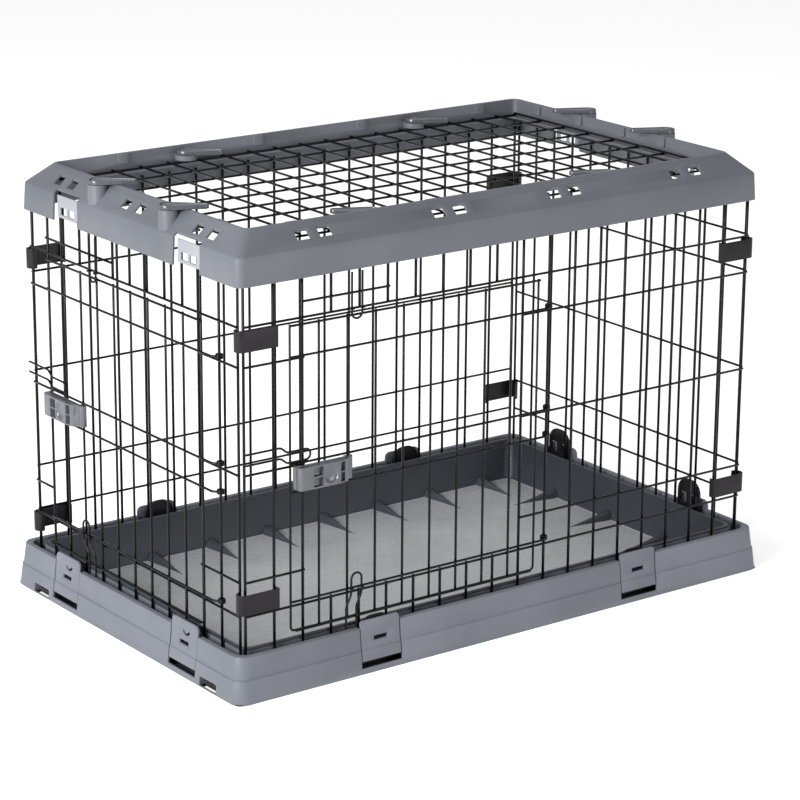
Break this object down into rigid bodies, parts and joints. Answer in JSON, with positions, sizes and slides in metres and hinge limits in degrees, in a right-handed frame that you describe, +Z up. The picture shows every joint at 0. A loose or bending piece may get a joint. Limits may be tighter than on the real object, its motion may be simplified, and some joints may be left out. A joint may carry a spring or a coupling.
{
  "type": "wire dog crate",
  "caption": "Wire dog crate with a moulded latched base, lift-out tray, two hinged wire doors with bolts and a moulded top frame with turning levers.",
  "frame": {"origin": "on the ground under the middle of the crate", "axes": "+X along the crate, +Y across it from the side-door wall to the back wall, +Z up"},
  "size_m": [0.92, 0.583, 0.6287],
  "materials": {
    "grey_plastic": "fine satin grain",
    "latch_plastic": "polished",
    "tray_plastic": "smooth semi-gloss",
    "pale_plastic": "satin",
    "black_plastic": "satin",
    "roller_plastic": "matt",
    "wire": "glossy black coating",
    "steel": "plain"
  },
  "bodies": {
    "frame": {"base_frame": "grey_plastic", "side_wall": "wire", "back_wall": "wire", "end_wall": "wire", "far_end_wall": "wire", "roller_rear_pin": "steel", "roller_front_pin": "steel", "corner_clip_rear_left_lower": "black_plastic", "corner_clip_rear_left_upper": "black_plastic", "corner_clip_rear_right_lower": "black_plastic", "corner_clip_rear_right_upper": "black_plastic", "corner_clip_front_left_lower": "black_plastic", "corner_clip_front_left_upper": "black_plastic", "corner_clip_front_right_lower": "black_plastic", "corner_clip_front_right_upper": "black_plastic"},
    "tray": {"tray": "tray_plastic"},
    "top_frame": {"top_frame": "grey_plastic", "roof_grid": "wire", "skirt_clip_left_left": "pale_plastic", "skirt_clip_left_right": "pale_plastic", "skirt_clip_right_left": "pale_plastic", "skirt_clip_right_right": "pale_plastic"},
    "lever_front_left": {"lever_front_left": "grey_plastic"},
    "lever_front_right": {"lever_front_right": "grey_plastic"},
    "lever_right_left": {"lever_right_left": "grey_plastic"},
    "lever_right_right": {"lever_right_right": "grey_plastic"},
    "lever_back_left": {"lever_back_left": "grey_plastic"},
    "lever_back_right": {"lever_back_right": "grey_plastic"},
    "lever_left_left": {"lever_left_left": "grey_plastic"},
    "lever_left_right": {"lever_left_right": "grey_plastic"},
    "side_door": {"side_door": "wire"},
    "side_door_latch": {"side_door_latch": "latch_plastic"},
    "side_door_slide_bolt": {"side_door_slide_bolt": "wire"},
    "side_door_lower_bolt": {"side_door_lower_bolt": "wire"},
    "side_door_upper_bolt": {"side_door_upper_bolt": "wire"},
    "end_door": {"end_door": "wire"},
    "end_door_latch": {"end_door_latch": "latch_plastic"},
    "end_door_slide_bolt": {"end_door_slide_bolt": "wire"},
    "end_door_lower_bolt": {"end_door_lower_bolt": "wire"},
    "end_door_upper_bolt": {"end_door_upper_bolt": "wire"},
    "base_latch_front_left": {"base_latch_front_left": "grey_plastic", "base_hook_front_left": "black_plastic"},
    "base_latch_front_right": {"base_latch_front_right": "grey_plastic", "base_hook_front_right": "black_plastic"},
    "base_latch_right_left": {"base_latch_right_left": "grey_plastic", "base_hook_right_left": "black_plastic"},
    "base_latch_right_right": {"base_latch_right_right": "grey_plastic", "base_hook_right_right": "black_plastic"},
    "base_latch_back_left": {"base_latch_back_left": "grey_plastic", "base_hook_back_left": "black_plastic"},
    "base_latch_back_right": {"base_latch_back_right": "grey_plastic", "base_hook_back_right": "black_plastic"},
    "base_latch_left_left": {"base_latch_left_left": "grey_plastic", "base_hook_left_left": "black_plastic"},
    "base_latch_left_right": {"base_latch_left_right": "grey_plastic", "base_hook_left_right": "black_plastic"},
    "roller_rear": {"roller_rear": "roller_plastic"},
    "roller_front": {"roller_front": "roller_plastic"}
  },
  "joints": [
    {"name": "tray_lift", "type": "slide", "parent": "frame", "child": "tray", "axis": [0, 0, 1], "range_m": [0, 0.015]},
    {"name": "top_frame_lift", "type": "slide", "parent": "frame", "child": "top_frame", "axis": [0, 0, 1], "range_m": [0, 0.08]},
    {"name": "lever_front_left_turn", "type": "hinge", "parent": "top_frame", "child": "lever_front_left", "pos_m": [-0.202, -0.224, 0.612], "axis": [0, 0, 1], "range_deg": [-56, 34]},
    {"name": "lever_front_right_turn", "type": "hinge", "parent": "top_frame", "child": "lever_front_right", "pos_m": [0.202, -0.224, 0.612], "axis": [0, 0, 1], "range_deg": [-56, 34]},
    {"name": "lever_right_left_turn", "type": "hinge", "parent": "top_frame", "child": "lever_right_left", "pos_m": [0.428, -0.089, 0.6225], "axis": [0, 0, 1], "range_deg": [-56, 34]},
    {"name": "lever_right_right_turn", "type": "hinge", "parent": "top_frame", "child": "lever_right_right", "pos_m": [0.428, 0.089, 0.6225], "axis": [0, 0, 1], "range_deg": [-56, 34]},
    {"name": "lever_back_left_turn", "type": "hinge", "parent": "top_frame", "child": "lever_back_left", "pos_m": [0.202, 0.224, 0.612], "axis": [0, 0, 1], "range_deg": [-56, 34]},
    {"name": "lever_back_right_turn", "type": "hinge", "parent": "top_frame", "child": "lever_back_right", "pos_m": [-0.202, 0.224, 0.612], "axis": [0, 0, 1], "range_deg": [-56, 34]},
    {"name": "lever_left_left_turn", "type": "hinge", "parent": "top_frame", "child": "lever_left_left", "pos_m": [-0.428, 0.089, 0.6225], "axis": [0, 0, 1], "range_deg": [-56, 34]},
    {"name": "lever_left_right_turn", "type": "hinge", "parent": "top_frame", "child": "lever_left_right", "pos_m": [-0.428, -0.089, 0.6225], "axis": [0, 0, 1], "range_deg": [-56, 34]},
    {"name": "side_door_swing", "type": "hinge", "parent": "frame", "child": "side_door", "pos_m": [0.06795, -0.2659, 0.29], "axis": [0, 0, 1], "range_deg": [0, 120]},
    {"name": "side_door_latch_turn", "type": "hinge", "parent": "side_door", "child": "side_door_latch", "pos_m": [-0.27265, -0.272, 0.29], "axis": [0, 0, 1], "range_deg": [0, 90]},
    {"name": "side_door_slide_bolt_slide", "type": "slide", "parent": "side_door", "child": "side_door_slide_bolt", "axis": [1, 0, 0], "range_m": [0, 0.035]},
    {"name": "side_door_lower_bolt_slide", "type": "slide", "parent": "side_door", "child": "side_door_lower_bolt", "axis": [0, 0, 1], "range_m": [0, 0.03]},
    {"name": "side_door_upper_bolt_slide", "type": "slide", "parent": "side_door", "child": "side_door_upper_bolt", "axis": [0, 0, -1], "range_m": [0, 0.025]},
    {"name": "end_door_swing", "type": "hinge", "parent": "frame", "child": "end_door", "pos_m": [-0.4344, -0.2165, 0.29], "axis": [0, 0, 1], "range_deg": [0, 120]},
    {"name": "end_door_latch_turn", "type": "hinge", "parent": "end_door", "child": "end_door_latch", "pos_m": [-0.4405, 0.1193, 0.29], "axis": [0, 0, 1], "range_deg": [0, 90]},
    {"name": "end_door_slide_bolt_slide", "type": "slide", "parent": "end_door", "child": "end_door_slide_bolt", "axis": [0, -1, 0], "range_m": [0, 0.035]},
    {"name": "end_door_lower_bolt_slide", "type": "slide", "parent": "end_door", "child": "end_door_lower_bolt", "axis": [0, 0, 1], "range_m": [0, 0.03]},
    {"name": "end_door_upper_bolt_slide", "type": "slide", "parent": "end_door", "child": "end_door_upper_bolt", "axis": [0, 0, -1], "range_m": [0, 0.025]},
    {"name": "base_latch_front_left_turn", "type": "hinge", "parent": "frame", "child": "base_latch_front_left", "pos_m": [-0.227, -0.2855, 0.02], "axis": [1, 0, 0], "range_deg": [0, 60]},
    {"name": "base_latch_front_right_turn", "type": "hinge", "parent": "frame", "child": "base_latch_front_right", "pos_m": [0.227, -0.2855, 0.02], "axis": [1, 0, 0], "range_deg": [0, 60]},
    {"name": "base_latch_right_left_turn", "type": "hinge", "parent": "frame", "child": "base_latch_right_left", "pos_m": [0.454, -0.153, 0.02], "axis": [0, 1, 0], "range_deg": [0, 60]},
    {"name": "base_latch_right_right_turn", "type": "hinge", "parent": "frame", "child": "base_latch_right_right", "pos_m": [0.454, 0.153, 0.02], "axis": [0, 1, 0], "range_deg": [0, 60]},
    {"name": "base_latch_back_left_turn", "type": "hinge", "parent": "frame", "child": "base_latch_back_left", "pos_m": [0.227, 0.2855, 0.02], "axis": [-1, 0, 0], "range_deg": [0, 60]},
    {"name": "base_latch_back_right_turn", "type": "hinge", "parent": "frame", "child": "base_latch_back_right", "pos_m": [-0.227, 0.2855, 0.02], "axis": [-1, 0, 0], "range_deg": [0, 60]},
    {"name": "base_latch_left_left_turn", "type": "hinge", "parent": "frame", "child": "base_latch_left_left", "pos_m": [-0.454, 0.153, 0.02], "axis": [0, -1, 0], "range_deg": [0, 60]},
    {"name": "base_latch_left_right_turn", "type": "hinge", "parent": "frame", "child": "base_latch_left_right", "pos_m": [-0.454, -0.153, 0.02], "axis": [0, -1, 0], "range_deg": [0, 60]},
    {"name": "roller_rear_spin", "type": "hinge", "parent": "frame", "child": "roller_rear", "pos_m": [-0.4495, 0.218, 0.0078], "axis": [0, 1, 0], "continuous": true},
    {"name": "roller_front_spin", "type": "hinge", "parent": "frame", "child": "roller_front", "pos_m": [-0.4495, -0.218, 0.0078], "axis": [0, 1, 0], "continuous": true}
  ]
}
